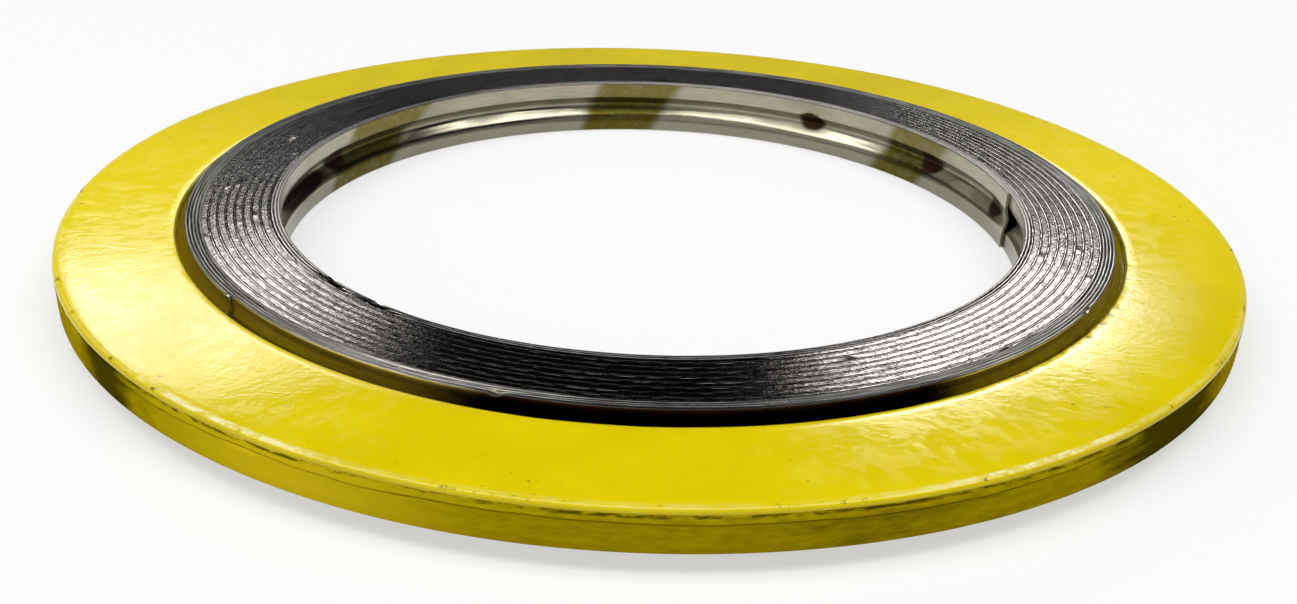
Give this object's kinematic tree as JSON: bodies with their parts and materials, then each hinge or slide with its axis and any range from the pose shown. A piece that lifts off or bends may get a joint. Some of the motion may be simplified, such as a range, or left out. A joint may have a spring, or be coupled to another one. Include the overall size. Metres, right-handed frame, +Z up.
{
  "type": "spiral wound gasket",
  "caption": "Flat spiral wound pipe flange gasket: a V-section metal strip wound with graphite filler, held in the grooved bore of a yellow painted steel centering ring.",
  "frame": {"origin": "on the gasket's axis, in the plane that it lies on", "axes": "+Z up along the gasket's axis, +X towards the inner end of the wound strip, which lies 3.7 degrees from it"},
  "size_m": [0.0859, 0.0858, 0.0047],
  "materials": {
    "hoop_metal": "rolled strip, satin",
    "graphite": "soft graphite with a dull grey sheen",
    "yellow_paint": "glossy"
  },
  "bodies": {
    "root": {"hoop_strip": "hoop_metal", "graphite_filler": "graphite", "centering_ring": "yellow_paint"}
  },
  "joints": []
}
